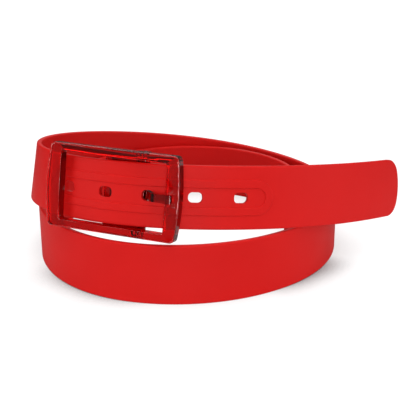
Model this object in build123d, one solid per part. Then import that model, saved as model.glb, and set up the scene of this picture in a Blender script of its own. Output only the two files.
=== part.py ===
# A moulded silicone trouser belt, coiled in two turns and stood on its edge, with a clear
# polycarbonate buckle threaded on the tail. Millimetres, +Z up, -Y is the front.
# One STEP file is written for each piece.
from build123d import *
import os
from math import sin, cos, pi, radians, sqrt

os.makedirs("parts", exist_ok=True)

# --- strap -----------------------------------------------------------------------------
strap_width = 35.0
strap_thickness = 3.0
strap_length = 1184.0
strap_edge_chamfer = 0.6
tip_corner_radius = 12.0
tip_bow_radius = 50.0
section_spacing = 20.0

hole_length = 7.6
hole_height = 5.9
hole_corner = 2.4
hole_count = 5
hole_pitch = 25.0
first_hole = 127.6          # from the tip

rib_outer_width = 19.5      # raised racetrack rib round the row of holes
rib_wall = 4.5
rib_height = 0.5
rib_root = 0.4              # depth to which the rib is sunk into the strap's face
rib_end_margin = 18.5       # from an end hole's centre to the rib's outer end

# How the strap lies: stations along it from the tip, with the bend radius at each one.
# The radius runs smoothly from one station to the next, always turning the same way.
bends = [(0, 600), (64, 176), (124, 142), (184, 103), (244, 83), (314, 87.5),
         (394, 110), (484, 82), (564, 106), (624, 87), (684, 102), (744, 98),
         (804, 78), (864, 91), (934, 107), (1004, 87), (1074, 69), (1184, 69)]
tip_x = 113.54
tip_y = -8.33
tip_heading = -128.5        # degrees from +X
crest_station = 185.0       # where the upper turn stands highest
crest_gap = 7.5             # from the lower turn's top edge to the crest's bottom edge
tip_drop = 22.1             # how far the tip hangs below the crest
floor_station = 538.0       # from here on the strap stands on its lower edge
crest_lean = 12.0           # degrees that the strap leans back at the crest
tip_lean = 8.0
floor_flat = 0.05           # how much of the lower edge's height is pressed flat on the floor

# --- buckle: a = along it to the right, v = up it, n = out of its rear plane -------------
buckle_length = 80.3
buckle_height = 47.0
buckle_depth = 6.0
side_bow = 2.0              # how far the short sides bulge
left_bar = 8.6
right_bar = 8.4
rail_height = 4.4           # the top and bottom bars
buckle_corner = 2.8
front_edge_radius = 0.9
rear_edge_radius = 0.5
window_corner = 1.2
window_bevel = 0.4
hole_to_bar = 11.25         # from the middle of the prong's hole to the right bar
buckle_rise = 0.4           # of the buckle's centre above the strap's
buckle_roll = -1.5          # degrees
bar_clearance = 1.1         # from the rib's face to the side bars' rear

# --- hinge pin, and the clamp that grips the strap's cut end -------------------------------
hinge_radius = 1.25
hinge_behind_hole = 6.0     # from the pin's axis to the middle of the prong's hole
prong_hole = 2              # counted from the tip, starting at 0
running_clearance = 0.06
fixed_clearance = 0.03
end_clearance = 0.3
lug_radius = 3.0
lug_thickness = 2.3
lug_inset = 0.5             # from the buckle's outer face to the lug
clamp_setback = 1.6         # from the buckle's rear plane to the clamp's front
clamp_length = 25.0
clamp_plate = 1.6
clamp_wall = 2.6
clamp_end_wall = 3.0
knuckle_radius = 2.8
grip_side_clearance = 0.3
lever_thickness = 1.8
lever_gap = 0.4
lever_pin_radius = 0.9
lever_pin_inset = 3.6       # from the clamp's mouth
cam_radius = 2.0
tooth_height = 0.7
tooth_count = 3
tooth_turn = 28.0           # degrees between the teeth

# --- prong ----------------------------------------------------------------------------------
prong_width = 4.5
prong_tip_corner = 1.2
prong_thickness = 2.2
prong_eye_radius = 2.6
prong_slot_clearance = 0.4
prong_seat = 3.9            # how far its tip lies on the right bar
prong_rest_depth = 2.0      # of its seat below the buckle's front
seat_clearance = 0.3


# Where the strap lies -----------------------------------------------------------------------
def bend_at(station):
    for (start, first), (end, second) in zip(bends, bends[1:]):
        if station <= end:
            share = (station - start) / (end - start)
            return (1 - share) / first + share / second
    return 1 / bends[-1][1]


def walk_strap():
    x, y, heading = tip_x, tip_y, radians(tip_heading)
    steps = [(x, y, heading)]
    for station in range(int(strap_length) + 1):
        half_way = heading - bend_at(station + 0.25) / 2
        x += cos(half_way)
        y += sin(half_way)
        heading -= bend_at(station + 0.5)
        steps.append((x, y, heading))
    return steps


route = walk_strap()
crest_height = strap_width + crest_gap


def along(station, crest_value, tip_value, floor_value):
    """A value that peaks at the crest and eases to the tip and to the floor."""
    if station < crest_station:
        ease = cos(pi / 2 * (crest_station - station) / crest_station)
        return tip_value + (crest_value - tip_value) * ease
    share = min(1.0, (station - crest_station) / (floor_station - crest_station))
    return floor_value + (crest_value - floor_value) * (1 + cos(pi * share)) / 2


def lift_at(station):
    return along(station, crest_height, crest_height - tip_drop, 0) - floor_flat


def strap_plane(station, out=0.0):
    """On the strap's middle line, out of its middle layer by out: x to the tip, y up."""
    whole = min(int(station), len(route) - 2)
    share = station - whole
    (x0, y0, turn0), (x1, y1, turn1) = route[whole], route[whole + 1]
    x, y, heading = x0 + (x1 - x0) * share, y0 + (y1 - y0) * share, turn0 + (turn1 - turn0) * share
    rise = lift_at(station + 0.5) - lift_at(station - 0.5)
    forward = Vector(cos(heading), sin(heading), rise).normalized()
    inward = Vector(sin(heading), -cos(heading), 0)
    lean = radians(along(station, crest_lean, tip_lean, 0))
    up = inward * sin(lean) + Vector(0, 0, cos(lean))
    up = (up - forward * up.dot(forward)).normalized()
    outward = up.cross(forward).normalized()
    foot = Vector(x, y, lift_at(station))
    return Plane(foot + up * (strap_width / 2) + outward * out, x_dir=forward * -1, z_dir=outward)


# Strap --------------------------------------------------------------------------------------
def cross_section(station, width, low, high, edge):
    plane = strap_plane(station, (low + high) / 2)
    across = Plane(plane.origin, x_dir=plane.y_dir, z_dir=plane.x_dir)
    outline = Rectangle(width, high - low)
    if edge:
        outline = chamfer(outline.vertices(), edge)
    return across * outline


def strip(start, end, width, low, high, edge=0.0):
    """A band that follows the strap from one station to another."""
    count = max(2, round((end - start) / section_spacing))
    stations = [start + (end - start) * i / count for i in range(count + 1)]
    return loft([cross_section(s, width, low, high, edge) for s in stations])


def beyond_tip():
    """What is cut away round the tip's bowed end and rounded corners."""
    half = strap_width / 2
    corner = -tip_bow_radius + sqrt(tip_bow_radius ** 2 - half ** 2)
    reach = -2 * tip_corner_radius
    nose = make_face([
        Line((reach, -half), (corner, -half)),
        ThreePointArc((corner, -half), (0, 0), (corner, half)),
        Line((corner, half), (reach, half)),
        Line((reach, half), (reach, -half)),
    ])
    nose = fillet(nose.vertices().group_by(Axis.X)[-1], tip_corner_radius)
    field = Pos(reach / 2, 0) * Rectangle(-reach, 2 * strap_width)
    rest = Pos(reach / 4, 0) * Rectangle(-reach / 2 - 2 * corner, 2 * strap_width) & field
    cutter = extrude(rest - nose, amount=4 * strap_thickness, both=True)
    return strap_plane(0).location * cutter


def round_ended(start, end, width, low, high):
    """A strip with fully round ends."""
    body = strip(start, end, width, low, high)
    reach = 3 * width
    for station, side in ((start, 1), (end, -1)):
        outline = Pos(-side * reach / 2, 0) * SlotOverall(reach, width)
        near_end = Pos(-side * width / 4, 0) * Rectangle(width / 2 + 2, width + 2)
        corners = extrude(near_end - outline, amount=2 * strap_thickness, both=True)
        body -= strap_plane(station).location * corners
    return body


def make_strap():
    half = strap_thickness / 2
    body = strip(0, strap_length, strap_width, -half, half, strap_edge_chamfer)
    body -= beyond_tip()

    last_hole = first_hole + hole_pitch * (hole_count - 1)
    start, end = first_hole - rib_end_margin, last_hole + rib_end_margin
    ring = round_ended(start, end, rib_outer_width, half - rib_root, half + rib_height)
    inner_width = rib_outer_width - 2 * rib_wall
    ring -= round_ended(start + rib_wall, end - rib_wall, inner_width, half - 2 * rib_root,
                        half + 3 * rib_height)
    body += ring
    for number in range(hole_count):
        plane = strap_plane(first_hole + number * hole_pitch)
        opening = RectangleRounded(hole_length, hole_height, hole_corner)
        body -= plane.location * extrude(opening, amount=2 * strap_thickness, both=True)
    return split(body, bisect_by=Plane.XY, keep=Keep.TOP)


# Buckle -------------------------------------------------------------------------------------
window_left = -buckle_length / 2 + left_bar
window_right = buckle_length / 2 - right_bar
window_half_height = buckle_height / 2 - rail_height
prong_station = first_hole + prong_hole * hole_pitch
buckle_station = prong_station + window_right - hole_to_bar


def find_buckle_plane():
    """The buckle lies across the two stations where its side bars cross the strap."""
    face = strap_thickness / 2 + rib_height
    right = strap_plane(buckle_station - window_right, face).origin
    left = strap_plane(buckle_station - window_left, face).origin
    along_it = (right - left).normalized()
    outward = along_it.cross(strap_plane(buckle_station).y_dir).normalized()
    up = outward.cross(along_it)
    centre = (right + left) * 0.5 - along_it * ((window_right + window_left) / 2)
    centre += outward * bar_clearance + up * buckle_rise
    level = Plane(centre, x_dir=along_it, z_dir=outward)
    return Plane(level.location * Rot(0, 0, buckle_roll))


buckle_plane = find_buckle_plane()
hole_spot = buckle_plane.to_local_coords(
    strap_plane(prong_station, strap_thickness / 2).origin)

hinge_a = hole_spot.X - hinge_behind_hole
hinge_n = -clamp_setback - knuckle_radius
prong_v = hole_spot.Y
lug_outer = buckle_height / 2 - lug_inset
lug_inner = lug_outer - lug_thickness


def upright(shape, low, high):
    """Extrudes an outline drawn in a and n along v, from low to high."""
    plane = Plane((0, low, 0), x_dir=(1, 0, 0), z_dir=(0, 1, 0))
    return extrude(plane * shape, amount=high - low)


def at(a, n):
    """Places an outline for upright: its second axis runs against n."""
    return Pos(a, -n)


def post(a, n, radius, low, high):
    return upright(at(a, n) * Circle(radius), low, high)


def slab(a0, a1, n0, n1, low, high):
    return upright(at((a0 + a1) / 2, (n0 + n1) / 2) * Rectangle(a1 - a0, n1 - n0), low, high)


def prong_pocket():
    """The seat in the right bar for the prong's tip."""
    seat = buckle_depth - prong_rest_depth
    half = prong_width / 2 + prong_slot_clearance
    end = window_right + prong_seat + seat_clearance
    pocket = slab(window_right - 2, end, seat, buckle_depth + 1, prong_v - half, prong_v + half)
    return fillet(pocket.edges().filter_by(Axis.Z).group_by(Axis.X)[-1], half / 3)


def make_buckle_frame():
    corner_a, corner_v = buckle_length / 2 - side_bow, buckle_height / 2
    outline = make_face([
        Line((-corner_a, corner_v), (corner_a, corner_v)),
        ThreePointArc((corner_a, corner_v), (corner_a + side_bow, 0), (corner_a, -corner_v)),
        Line((corner_a, -corner_v), (-corner_a, -corner_v)),
        ThreePointArc((-corner_a, -corner_v), (-corner_a - side_bow, 0), (-corner_a, corner_v)),
    ])
    outline = fillet(outline.vertices(), buckle_corner)
    frame = extrude(outline, amount=buckle_depth)
    frame = fillet(frame.faces().sort_by(Axis.Z)[-1].edges(), front_edge_radius)
    frame = fillet(frame.faces().sort_by(Axis.Z)[0].edges(), rear_edge_radius)
    window_length = window_right - window_left
    window = RectangleRounded(window_length, 2 * window_half_height, window_corner)
    window = Pos((window_right + window_left) / 2, 0) * window
    frame -= extrude(window, amount=buckle_depth)
    front = frame.faces().sort_by(Axis.Z)[-1]
    frame = chamfer(front.inner_wires()[0].edges(), window_bevel)
    frame -= prong_pocket()
    for side in (1, -1):
        low, high = sorted((side * lug_inner, side * lug_outer))
        lug = slab(hinge_a - lug_radius, hinge_a + lug_radius, hinge_n, 1, low, high)
        lug += post(hinge_a, hinge_n, lug_radius, low, high)
        frame += lug
    reach = buckle_height
    frame -= post(hinge_a, hinge_n, hinge_radius + fixed_clearance, -reach, reach)
    return frame


def make_hinge_pin():
    pin = post(hinge_a, hinge_n, hinge_radius, -lug_outer, lug_outer)
    return chamfer(pin.edges(), hinge_radius / 5)


# Clamp --------------------------------------------------------------------------------------
clamp_half = lug_inner - end_clearance
clamp_left = hinge_a + knuckle_radius - clamp_length
grip_depth = strap_thickness + 0.2
grip_front = -clamp_setback - clamp_plate
clamp_rear = grip_front - grip_depth - lever_thickness
grip_half = strap_width / 2 + grip_side_clearance
grip_right = hinge_a - knuckle_radius - clamp_end_wall / 2
lever_pin_a = clamp_left + lever_pin_inset
lever_pin_n = grip_front - cam_radius - tooth_height - lever_gap


def make_clamp_body():
    right = hinge_a - knuckle_radius + clamp_end_wall / 2
    body = slab(clamp_left, right, clamp_rear, -clamp_setback, -clamp_half, clamp_half)
    rounded = body.edges().filter_by(Axis.Y).group_by(Axis.X)[-1].sort_by(Axis.Z)[0]
    body = fillet(rounded, clamp_end_wall / 2)
    body += post(hinge_a, hinge_n, knuckle_radius, -clamp_half, clamp_half)
    body += slab(right - 1, hinge_a, hinge_n, -clamp_setback, -clamp_half, clamp_half)
    body -= slab(clamp_left - 1, grip_right, clamp_rear - 1, grip_front, -grip_half, grip_half)
    corners = body.edges().filter_by(Axis.Z).group_by(Axis.X)[0].group_by(Axis.Y)
    body = fillet(corners[0] + corners[-1], clamp_wall / 2)
    half = prong_width / 2 + prong_slot_clearance
    slot_left = hinge_a - prong_eye_radius - prong_slot_clearance
    body -= slab(slot_left, hinge_a + 2 * knuckle_radius, clamp_rear - 1, 0, prong_v - half,
                 prong_v + half)
    reach = buckle_height
    body -= post(hinge_a, hinge_n, hinge_radius + running_clearance, -reach, reach)
    body -= post(lever_pin_a, lever_pin_n, lever_pin_radius + fixed_clearance, -reach, reach)
    return body


def make_lever_pin():
    pin = post(lever_pin_a, lever_pin_n, lever_pin_radius, -clamp_half, clamp_half)
    return chamfer(pin.edges(), lever_pin_radius / 5)


def make_clamp_lever():
    half = grip_half - end_clearance
    right = grip_right - lever_gap
    plate_front = clamp_rear + lever_thickness
    lever = slab(lever_pin_a, right, clamp_rear, plate_front, -half, half)
    lever += post(lever_pin_a, lever_pin_n, cam_radius, -half, half)
    for number in range(tooth_count):
        turn = radians((number - (tooth_count - 1) / 2) * tooth_turn + 20)
        a = lever_pin_a + (cam_radius + tooth_height / 4) * sin(turn)
        n = lever_pin_n + (cam_radius + tooth_height / 4) * cos(turn)
        tooth = at(a, n) * Rectangle(tooth_height, tooth_height, rotation=45)
        lever += upright(tooth, -half, half)
    lever -= post(lever_pin_a, lever_pin_n, lever_pin_radius + running_clearance, -half, half)
    corners = lever.edges().filter_by(Axis.Z).group_by(Axis.X)[-1]
    return fillet(corners, 1.5)


# Prong --------------------------------------------------------------------------------------
def make_prong():
    """An eye on the hinge pin, a neck through the strap's hole and a finger on the bar."""
    half = prong_thickness / 2
    rest = buckle_depth - prong_rest_depth + seat_clearance + half
    face = hole_spot.Z
    tip = window_right + prong_seat
    path = FilletPolyline(
        (hinge_a, -hinge_n), (hole_spot.X - 2.3, strap_thickness + 1.1 - face),
        (hole_spot.X + 4.4, -rest), (tip - half, -rest), radius=[1.5, 3])
    blade = trace(path, prong_thickness)
    low, high = prong_v - prong_width / 2, prong_v + prong_width / 2
    prong = upright(blade, low, high)
    prong += post(tip - half, rest, half, low, high)
    prong += post(hinge_a, hinge_n, prong_eye_radius, low, high)
    prong -= post(hinge_a, hinge_n, hinge_radius + running_clearance, low - 1, high + 1)
    length = tip - hinge_a + 2 * prong_eye_radius
    plan = Pos(tip - length / 2, prong_v) * RectangleRounded(length, prong_width, prong_tip_corner)
    prong &= extrude(plan, amount=2 * buckle_depth, both=True)
    return prong


pieces = {
    "buckle_frame": make_buckle_frame(),
    "hinge_pin": make_hinge_pin(),
    "prong": make_prong(),
    "clamp_body": make_clamp_body(),
    "clamp_lever": make_clamp_lever(),
    "lever_pin": make_lever_pin(),
}
for name, piece in pieces.items():
    pieces[name] = buckle_plane.location * piece
pieces["strap"] = make_strap()
for name, piece in pieces.items():
    export_step(piece, f"parts/{name}.step")
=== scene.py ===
# A coiled silicone belt with its polycarbonate buckle, dressed over the CAD frame.
# Metres, +Z up, the buckle faces -Y.
from math import asin, cos, pi, radians, sin

import bmesh
import bpy
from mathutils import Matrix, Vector


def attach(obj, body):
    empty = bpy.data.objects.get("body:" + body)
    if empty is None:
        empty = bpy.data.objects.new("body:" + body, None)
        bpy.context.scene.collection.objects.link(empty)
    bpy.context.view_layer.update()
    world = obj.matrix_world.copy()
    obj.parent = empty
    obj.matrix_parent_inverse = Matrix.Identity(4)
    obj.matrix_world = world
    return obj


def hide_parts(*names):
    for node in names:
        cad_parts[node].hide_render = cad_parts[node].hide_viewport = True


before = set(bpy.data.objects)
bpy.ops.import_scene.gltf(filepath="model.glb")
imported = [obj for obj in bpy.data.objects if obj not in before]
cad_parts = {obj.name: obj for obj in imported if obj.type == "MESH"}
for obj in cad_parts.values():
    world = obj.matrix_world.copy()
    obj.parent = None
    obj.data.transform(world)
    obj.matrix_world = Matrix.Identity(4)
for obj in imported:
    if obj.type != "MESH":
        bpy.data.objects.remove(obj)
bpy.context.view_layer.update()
scene = bpy.context.scene
mm = 0.001


# Camera
camera = {
    "place": (-4.19 * mm, -545.54 * mm, 227.2 * mm),
    "pitchDown": radians(20.68),
    "lens": 79.05,
    "sensor": 36.0,
}


def addCamera(spec):
    data = bpy.data.cameras.new("camera")
    data.lens = spec["lens"]
    data.sensor_width = spec["sensor"]
    data.clip_start = 0.01
    view = bpy.data.objects.new("camera", data)
    view.location = spec["place"]
    view.rotation_euler = (pi / 2 - spec["pitchDown"], 0, 0)
    scene.collection.objects.link(view)
    scene.camera = view
    scene.view_settings.view_transform = "Standard"


addCamera(camera)
print("camera set")


# Small helpers
def linear(hexColour):
    channels = [int(hexColour[i:i + 2], 16) / 255 for i in (1, 3, 5)]
    curve = [c / 12.92 if c <= 0.04045 else ((c + 0.055) / 1.055) ** 2.4 for c in channels]
    return (*curve, 1.0)


def addNode(material, kind, settings, links={}):
    tree = material.node_tree
    node = tree.nodes.new(kind)
    for name, value in settings.items():
        if isinstance(name, int) or name in node.inputs:
            node.inputs[name].default_value = value
        else:
            setattr(node, name, value)
    for name, source in links.items():
        tree.links.new(source, node.inputs[name])
    return node


def newMaterial(name):
    material = bpy.data.materials.new(name)
    material.use_nodes = True
    material.node_tree.nodes.clear()
    return material


# Materials
# Moulded silicone rubber: even red, matte, with a soft sheen where it turns away from the eye.
silicone = {
    "colour": "#D61512",
    "deepColour": "#CD110F",
    "mottle": 30 * mm,          # size of the faint clouds between the two reds
    "smoothest": 0.49,          # roughness at the grain's two ends
    "roughest": 0.61,
    "ior": 1.41,
    "gloss": 0.22,
    "grain": 1.4 * mm,          # real mould grain is finer than shows, so it is drawn coarser
    "grainDepth": 0.02 * mm,
    "grainStrength": 0.6,
    "softness": 0.08,           # share of the light that wanders inside the rubber
    "softDepth": 2 * mm,
    "softSpread": (1.0, 0.2, 0.1),
}


def siliconeMaterial(spec):
    material = newMaterial("siliconeRubber")
    place = addNode(material, "ShaderNodeTexCoord", {}).outputs["Object"]
    mottle = addNode(material, "ShaderNodeTexNoise", {"Scale": 1 / spec["mottle"], "Detail": 2.0},
                     {"Vector": place}).outputs["Fac"]
    reds = {6: linear(spec["colour"]), 7: linear(spec["deepColour"])}
    colour = addNode(material, "ShaderNodeMix", {"data_type": "RGBA", **reds},
                     {0: mottle}).outputs[2]
    grain = addNode(material, "ShaderNodeTexNoise", {"Scale": 1 / spec["grain"], "Detail": 3.0},
                    {"Vector": place}).outputs["Fac"]
    rough = addNode(material, "ShaderNodeMapRange",
                    {"To Min": spec["smoothest"], "To Max": spec["roughest"]},
                    {"Value": grain}).outputs["Result"]
    bump = addNode(material, "ShaderNodeBump",
                   {"Distance": spec["grainDepth"], "Strength": spec["grainStrength"]},
                   {"Height": grain}).outputs["Normal"]
    surface = addNode(
        material, "ShaderNodeBsdfPrincipled",
        {"IOR": spec["ior"], "Specular IOR Level": spec["gloss"],
         "Subsurface Weight": spec["softness"], "Subsurface Scale": spec["softDepth"],
         "Subsurface Radius": spec["softSpread"]},
        {"Base Color": colour, "Roughness": rough, "Normal": bump}).outputs["BSDF"]
    addNode(material, "ShaderNodeOutputMaterial", {}, {"Surface": surface})
    return material


# Injection-moulded polycarbonate, dyed red through and through: glossy and clear, a bright red
# where it is thin and near black where light has a long way to go in it.
polycarbonate = {
    "surface": "#FF908C",
    "dye": "#FD0A10",
    "dyeDensity": 1500.0,       # per metre
    "smoothest": 0.02,          # roughness on and between the flow marks
    "dullest": 0.08,
    "ior": 1.585,
    "gloss": 0.35,
    "flow": 9 * mm,             # size of the faint flow marks that moulding leaves
    "flowDepth": 0.05 * mm,
    "flowStrength": 0.3,
}

# The clamp, the prong and the pins are the same plastic with more dye, a dark garnet; this extra
# darkness is in part painted shade, standing for the shade they sit in behind the strap and inside
# the prong's hole.
dyedAndShadedPolycarbonate = {**polycarbonate, "surface": "#F07070", "dye": "#EE0A10"}


def polycarbonateMaterial(name, spec):
    material = newMaterial(name)
    place = addNode(material, "ShaderNodeTexCoord", {}).outputs["Object"]
    flow = addNode(material, "ShaderNodeTexNoise", {"Scale": 1 / spec["flow"], "Detail": 1.0},
                   {"Vector": place}).outputs["Fac"]
    rough = addNode(material, "ShaderNodeMapRange",
                    {"To Min": spec["smoothest"], "To Max": spec["dullest"]},
                    {"Value": flow}).outputs["Result"]
    bump = addNode(material, "ShaderNodeBump",
                   {"Distance": spec["flowDepth"], "Strength": spec["flowStrength"]},
                   {"Height": flow}).outputs["Normal"]
    surface = addNode(
        material, "ShaderNodeBsdfPrincipled",
        {"Base Color": linear(spec["surface"]), "IOR": spec["ior"], "Transmission Weight": 1.0,
         "Specular IOR Level": spec["gloss"]},
        {"Roughness": rough, "Normal": bump}).outputs["BSDF"]
    inside = addNode(material, "ShaderNodeVolumeAbsorption",
                     {"Color": linear(spec["dye"]), "Density": spec["dyeDensity"]})
    addNode(material, "ShaderNodeOutputMaterial", {},
            {"Surface": surface, "Volume": inside.outputs["Volume"]})
    return material


siliconeSkin = siliconeMaterial(silicone)
frameSkin = polycarbonateMaterial("clearPolycarbonate", polycarbonate)
# The clamp pieces get the darker copy: more dye, and in part painted shade.
clampSkin = polycarbonateMaterial("dyedAndShadedPolycarbonate", dyedAndShadedPolycarbonate)
print("materials made")


# Strap: drawn flat from its tip, then laid along the coil
strap = {
    "width": 35 * mm,
    "thickness": 3 * mm,
    "length": 1184 * mm,
    "edgeRound": 0.8 * mm,
    "edgeSteps": 3,
    "tipCorner": 12 * mm,
    "tipBow": 30 * mm,
    "tipReach": 0.8 * mm,       # the bowed tip stands this much proud of the route's start
    "cornerSteps": 8,
    "bowSteps": 6,
    "holeLength": 7.6 * mm,
    "holeHeight": 5.9 * mm,
    "holeCorner": 2.4 * mm,
    "holeRound": 0.3 * mm,
    "holeSteps": 5,
    "holeCount": 5,
    "holePitch": 25 * mm,
    "firstHole": 127.6 * mm,
    "ribWidth": 19.5 * mm,
    "ribWall": 4.5 * mm,
    "ribHeight": 0.5 * mm,
    "ribRound": 0.45 * mm,
    "ribMargin": 18.5 * mm,     # from the outer holes' middles to the rib's two ends
    "ribEndSteps": 16,
    "sliceLength": 4 * mm,      # the strip is cut across this often, so that it bends evenly
    "lengthwiseCuts": (-1, -0.5, 0, 0.5, 1),
    "sharpFold": 1.0,           # a fold of more than this, in radians, is a rim to round
}

coil = {
    # (distance from the tip, bend radius there) in millimetres
    "bends": [(0, 600), (64, 176), (124, 142), (184, 103), (244, 83), (314, 87.5),
              (394, 110), (484, 82), (564, 106), (624, 87), (684, 102), (744, 98),
              (804, 78), (864, 91), (934, 107), (1004, 87), (1074, 69), (1184, 69)],
    "tip": (113.54, -8.33),
    "tipHeading": radians(-128.5),
    "crestStation": 185.0,      # where the strap's lower edge is highest
    "crestHeight": 42.5,
    "tipHeight": 20.4,
    "floorStation": 538.0,      # where it comes down to the floor
    "floorFlat": 0.05,          # the lower edge is pressed flat by this much
    "crestLean": radians(12.0),
    "tipLean": radians(8.0),
}


def bendAt(station):
    for (start, first), (end, second) in zip(coil["bends"], coil["bends"][1:]):
        if station <= end:
            share = (station - start) / (end - start)
            return (1 - share) / first + share / second
    return 1 / coil["bends"][-1][1]


def walkCoil(length):
    x, y = coil["tip"]
    heading = coil["tipHeading"]
    steps = [(x, y, heading)]
    for station in range(length + 1):
        halfWay = heading - bendAt(station + 0.25) / 2
        x += cos(halfWay)
        y += sin(halfWay)
        heading -= bendAt(station + 0.5)
        steps.append((x, y, heading))
    return steps


route = walkCoil(round(strap["length"] / mm))


def easedAlong(station, crest, tip, floor):
    top = coil["crestStation"]
    if station < top:
        return tip + (crest - tip) * cos(pi / 2 * (top - station) / top)
    share = min(1.0, (station - top) / (coil["floorStation"] - top))
    return floor + (crest - floor) * (1 + cos(pi * share)) / 2


def liftAt(station):
    return easedAlong(station, coil["crestHeight"], coil["tipHeight"], 0) - coil["floorFlat"]


def frameAt(station):
    whole = min(max(int(station), 0), len(route) - 2)
    share = station - whole
    (x0, y0, turn0), (x1, y1, turn1) = route[whole], route[whole + 1]
    heading = turn0 + (turn1 - turn0) * share
    forward = Vector((cos(heading), sin(heading), liftAt(station + 0.5) - liftAt(station - 0.5)))
    forward.normalize()
    lean = easedAlong(station, coil["crestLean"], coil["tipLean"], 0)
    up = Vector((sin(heading) * sin(lean), -cos(heading) * sin(lean), cos(lean)))
    up = (up - forward * up.dot(forward)).normalized()
    foot = Vector((x0 + (x1 - x0) * share, y0 + (y1 - y0) * share, liftAt(station)))
    return foot * mm, up, up.cross(forward).normalized()


def layOn(point):
    foot, up, outward = frameAt(-point.x / mm)
    return foot + up * (strap["width"] / 2 + point.y) + outward * point.z


def addArc(bm, start, centre, angle, steps):
    made = bmesh.ops.spin(bm, geom=[start], cent=(*centre, 0), axis=(0, 0, 1), angle=angle,
                          steps=steps)
    return next(v for v in made["geom_last"] if isinstance(v, bmesh.types.BMVert))


def drawStrap(bm, spec):
    half, bow, corner = spec["width"] / 2, spec["tipBow"], spec["tipCorner"]
    swing = asin((half - corner) / (bow - corner))
    bowMiddle = spec["tipReach"] - bow
    middle = bowMiddle + (bow - corner) * cos(swing)        # of the tip's two corner arcs
    steps = spec["cornerSteps"]
    first = bm.verts.new((middle, -half, 0))
    low = addArc(bm, first, (middle, corner - half), pi / 2 - swing, steps)
    high = addArc(bm, low, (bowMiddle, 0), 2 * swing, spec["bowSteps"])
    last = addArc(bm, high, (middle, half - corner), pi / 2 - swing, steps)
    farHigh, farLow = [bm.verts.new((-spec["length"], y, 0)) for y in (half, -half)]
    for pair in ((last, farHigh), (farHigh, farLow), (farLow, first)):
        bm.edges.new(pair)


def drawRacetrack(bm, middle, length, width, steps):
    radius = width / 2
    reach = length / 2 - radius
    right = bm.verts.new((middle + reach, -radius, 0))
    rightEnd = addArc(bm, right, (middle + reach, 0), pi, steps)
    left = bm.verts.new((middle - reach, radius, 0))
    leftEnd = addArc(bm, left, (middle - reach, 0), pi, steps)
    bm.edges.new((rightEnd, left))
    bm.edges.new((leftEnd, right))


def drawHole(bm, middle, spec):
    reach, half = spec["holeLength"] / 2, spec["holeHeight"] / 2
    corners = [bm.verts.new((middle + x, y, 0))
               for x, y in ((-reach, -half), (reach, -half), (reach, half), (-reach, half))]
    bm.faces.new(corners)
    bmesh.ops.bevel(bm, geom=corners, offset=spec["holeCorner"], segments=spec["holeSteps"],
                    profile=0.5, affect="VERTICES", material=-1)
    bmesh.ops.delete(bm, geom=bm.faces[:], context="FACES_ONLY")


def thicken(bm, low, high):
    bmesh.ops.solidify(bm, geom=bm.faces[:], thickness=high - low)
    floor = min(v.co.z for v in bm.verts)
    bmesh.ops.translate(bm, vec=(0, 0, low - floor), verts=bm.verts)
    bmesh.ops.recalc_face_normals(bm, faces=bm.faces)


def roundRims(bm, spec, chosen, offset):
    rims = [e for e in bm.edges
            if e.calc_face_angle(0) > spec["sharpFold"] and chosen(e.verts[0].co)]
    bmesh.ops.bevel(bm, geom=rims, offset=offset, segments=spec["edgeSteps"], profile=0.5,
                    affect="EDGES", clamp_overlap=False, material=-1)


def cutAcross(bm, places, normal):
    for place in places:
        geometry = bm.verts[:] + bm.edges[:] + bm.faces[:]
        bmesh.ops.bisect_plane(bm, geom=geometry, plane_co=place, plane_no=normal)


def layStrip(bm, spec, start, end):
    slices = round((end - start) / spec["sliceLength"])
    cutAcross(bm, [(-start - (end - start) * i / slices, 0, 0) for i in range(1, slices)],
              (1, 0, 0))
    for vert in bm.verts:
        vert.co = layOn(vert.co)
        vert.co.z = max(vert.co.z, 0)       # pressed flat on the floor


# Large flat faces keep flat shading beside small rounded ones
def evenShading(piece):
    evened = piece.modifiers.new("evenShading", "WEIGHTED_NORMAL")
    evened.weight = 100
    evened.keep_sharp = True


def moulding(spec):
    half = spec["thickness"] / 2
    plate = bmesh.new()
    for number in range(spec["holeCount"]):
        drawHole(plate, -spec["firstHole"] - number * spec["holePitch"], spec)
    drawStrap(plate, spec)
    bmesh.ops.triangle_fill(plate, edges=plate.edges[:], use_beauty=True)
    thicken(plate, -half, half)

    def isHole(co):
        beside = abs(co.y) < spec["width"] / 4
        return beside and -spec["length"] / 2 < co.x < -spec["firstHole"] / 2

    roundRims(plate, spec, isHole, spec["holeRound"])
    roundRims(plate, spec, lambda co: True, spec["edgeRound"])
    band = spec["width"] / 2 - 1.5 * spec["edgeRound"]
    cutAcross(plate, [(0, band * share, 0) for share in spec["lengthwiseCuts"]], (0, 1, 0))
    layStrip(plate, spec, 0, spec["length"])
    return plate


def raisedRib(spec):
    half = spec["thickness"] / 2
    rowLength = spec["holePitch"] * (spec["holeCount"] - 1)
    middle = -spec["firstHole"] - rowLength / 2
    length = rowLength + 2 * spec["ribMargin"]
    rib = bmesh.new()
    for inset in (0, 2 * spec["ribWall"]):
        drawRacetrack(rib, middle, length - inset, spec["ribWidth"] - inset, spec["ribEndSteps"])
    bmesh.ops.bridge_loops(rib, edges=rib.edges[:])
    thicken(rib, half - spec["ribHeight"], half + spec["ribHeight"])
    roundRims(rib, spec, lambda co: co.z > half, spec["ribRound"])
    layStrip(rib, spec, -middle - length / 2, -middle + length / 2)
    return rib


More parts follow.
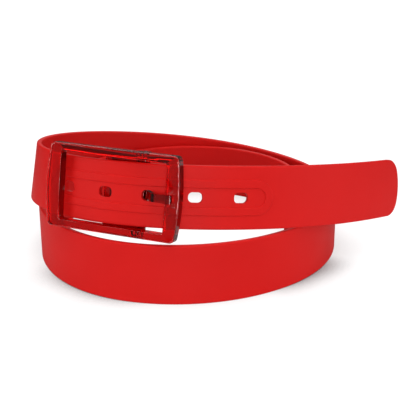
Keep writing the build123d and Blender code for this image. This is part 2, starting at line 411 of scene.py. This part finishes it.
def makeStrap(spec):
    plate = moulding(spec)
    ribMesh = bpy.data.meshes.new("rib")
    raisedRib(spec).to_mesh(ribMesh)
    plate.from_mesh(ribMesh)
    bmesh.ops.remove_doubles(plate, verts=plate.verts, dist=mm / 1000)
    bmesh.ops.recalc_face_normals(plate, faces=plate.faces)
    whole = bpy.data.meshes.new("beltStrap")
    plate.to_mesh(whole)
    whole.materials.append(siliconeSkin)
    whole.shade_smooth()
    piece = bpy.data.objects.new("beltStrap", whole)
    scene.collection.objects.link(piece)
    evenShading(piece)
    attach(piece, "belt")
    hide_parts("strap")
    return piece


beltStrap = makeStrap(strap)
print("strap laid,", len(beltStrap.data.polygons), "faces")


# Buckle: the CAD pieces with their triangles merged, so that they shade as moulded faces
buckle = {
    "pieces": {
        "buckle_frame": ("buckleFrame", "belt", frameSkin),
        "hinge_pin": ("hingePin", "belt", clampSkin),
        "prong": ("prongBlade", "prong", clampSkin),
        "clamp_body": ("clampBody", "clamp", clampSkin),
        "lever_pin": ("leverPin", "clamp", clampSkin),
        "clamp_lever": ("clampLever", "lever", clampSkin),
    },
    "creaseAngle": radians(30),
}


def dressNode(node, name, body, skin):
    shell = bmesh.new()
    shell.from_mesh(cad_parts[node].data)
    bmesh.ops.remove_doubles(shell, verts=shell.verts, dist=mm / 1000)
    mesh = bpy.data.meshes.new(name)
    shell.to_mesh(mesh)
    mesh.materials.clear()
    mesh.materials.append(skin)
    mesh.shade_smooth()
    mesh.set_sharp_from_angle(angle=buckle["creaseAngle"])
    piece = bpy.data.objects.new(name, mesh)
    scene.collection.objects.link(piece)
    evenShading(piece)
    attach(piece, body)
    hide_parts(node)


for node, dress in buckle["pieces"].items():
    dressNode(node, *dress)
print("buckle dressed")


# Studio: a sheet of white paper that fades into white all round, under soft lights
studio = {
    "floorSize": 6.0,
    "floorColour": "#F2F2F2",
    "floorGlow": 0.75,          # how much of the paper is seen as plain white
    "shadeReach": 60 * mm,      # how far from the object its painted contact shade goes
    "shadeSamples": 8,
    "shadeDeep": 0.4,           # openness to the sky at which the shade is full
    "shadeNone": 0.7,           # and at which there is none
    "sideShade": 0.85,          # painted shade: light left at the contact in front, at the sides and behind
    "cornerShade": 0.0,         # and on the diagonals between them, where the painted shade is deepest
    "cornerStart": 0.3,         # how diagonal a place is, up to 0.5, where that shade sets in
    "cornerFull": 0.5,
    "openLight": 1.2,           # light on the open paper, where 1 is white
    "fadeStart": 0.2,           # metres from the middle, from paper to plain white
    "fadeEnd": 0.5,
    "unseenNear": 0.65,         # how light the paper is to all but the camera
    "unseenFar": 0.1,
    "worldStrength": 0.15,
    "lights": [
        # place, size, power in watts
        ((0.0, -0.15, 1.0), 1.2, 8.6),
        ((0.0, -1.5, 0.25), 0.5, 7.5),
        ((-1.1, -0.45, 0.4), 0.6, 4.8),
        ((1.1, -0.35, 0.4), 0.6, 4.9),
        ((0.0, 1.3, 0.8), 0.8, 3.5),
    ],
}


# Painted contact shade: the paper's glow is dimmed near the object by ambient occlusion, and more
# on the diagonals than in front, at the sides and behind. No lamp casts it.
def contactShade(material, spec, place):
    aim = addNode(material, "ShaderNodeVectorMath", {"operation": "NORMALIZE"},
                  {"Vector": place}).outputs["Vector"]
    across = addNode(material, "ShaderNodeSeparateXYZ", {}, {"Vector": aim}).outputs
    turned = addNode(material, "ShaderNodeMath", {"operation": "MULTIPLY"},
                     {0: across["X"], 1: across["Y"]}).outputs["Value"]
    diagonal = addNode(material, "ShaderNodeMath", {"operation": "ABSOLUTE"},
                       {0: turned}).outputs["Value"]
    darkest = addNode(material, "ShaderNodeMapRange",
                      {"interpolation_type": "SMOOTHSTEP", "From Min": spec["cornerStart"],
                       "From Max": spec["cornerFull"], "To Min": spec["sideShade"],
                       "To Max": spec["cornerShade"]},
                      {"Value": diagonal}).outputs["Result"]
    openness = addNode(material, "ShaderNodeAmbientOcclusion",
                       {"Distance": spec["shadeReach"], "samples": spec["shadeSamples"]})
    return addNode(material, "ShaderNodeMapRange",
                   {"From Min": spec["shadeDeep"], "From Max": spec["shadeNone"],
                    "To Max": spec["openLight"]},
                   {"Value": openness.outputs["AO"], "To Min": darkest}).outputs["Result"]


def fadeAway(material, spec, away, near, far, kind):
    return addNode(material, "ShaderNodeMapRange",
                   {"interpolation_type": kind, "From Min": spec["fadeStart"],
                    "From Max": spec["fadeEnd"], "To Min": near, "To Max": far},
                   {"Value": away}).outputs["Result"]


# The camera sees the paper as white with a painted contact shade. All other rays see a dimmer
# sheet, so that it neither reddens nor clouds the clear plastic.
def paperMaterial(spec):
    material = newMaterial("whitePaper")
    place = addNode(material, "ShaderNodeTexCoord", {}).outputs["Object"]
    away = addNode(material, "ShaderNodeVectorMath", {"operation": "LENGTH"},
                   {"Vector": place}).outputs["Value"]
    glow = addNode(material, "ShaderNodeEmission", {},
                   {"Strength": contactShade(material, spec, place)}).outputs[0]
    paper = addNode(material, "ShaderNodeBsdfDiffuse",
                    {"Color": linear(spec["floorColour"])}).outputs[0]
    share = fadeAway(material, spec, away, spec["floorGlow"], 1.0, "SMOOTHSTEP")
    seen = addNode(material, "ShaderNodeMixShader", {}, {0: share, 1: paper, 2: glow}).outputs[0]
    dim = fadeAway(material, spec, away, spec["unseenNear"], spec["unseenFar"], "LINEAR")
    unseen = addNode(material, "ShaderNodeBsdfDiffuse", {}, {"Color": dim}).outputs[0]
    rays = addNode(material, "ShaderNodeLightPath", {}).outputs["Is Camera Ray"]
    either = addNode(material, "ShaderNodeMixShader", {}, {0: rays, 1: unseen, 2: seen}).outputs[0]
    addNode(material, "ShaderNodeOutputMaterial", {}, {"Surface": either})
    return material


def makeFloor(spec):
    bm = bmesh.new()
    bmesh.ops.create_grid(bm, x_segments=1, y_segments=1, size=spec["floorSize"] / 2)
    mesh = bpy.data.meshes.new("floor")
    bm.to_mesh(mesh)
    floor = bpy.data.objects.new("floor", mesh)
    scene.collection.objects.link(floor)
    mesh.materials.append(paperMaterial(spec))


def lightStudio(spec):
    world = bpy.data.worlds.new("studio")
    scene.world = world
    world.use_nodes = True
    world.node_tree.nodes.clear()
    rays = addNode(world, "ShaderNodeLightPath", {}).outputs["Is Camera Ray"]
    strength = addNode(world, "ShaderNodeMapRange", {"To Min": spec["worldStrength"]},
                       {"Value": rays}).outputs["Result"]
    sky = addNode(world, "ShaderNodeBackground", {"Color": (1, 1, 1, 1)},
                  {"Strength": strength}).outputs[0]
    addNode(world, "ShaderNodeOutputWorld", {}, {"Surface": sky})
    for number, (place, size, power) in enumerate(spec["lights"]):
        data = bpy.data.lights.new(f"softbox{number}", "AREA")
        data.size = size
        data.energy = power
        lamp = bpy.data.objects.new(f"softbox{number}", data)
        lamp.location = place
        lamp.rotation_euler = (-Vector(place)).to_track_quat("-Z", "Y").to_euler()
        scene.collection.objects.link(lamp)


makeFloor(studio)
lightStudio(studio)
print("studio lit")
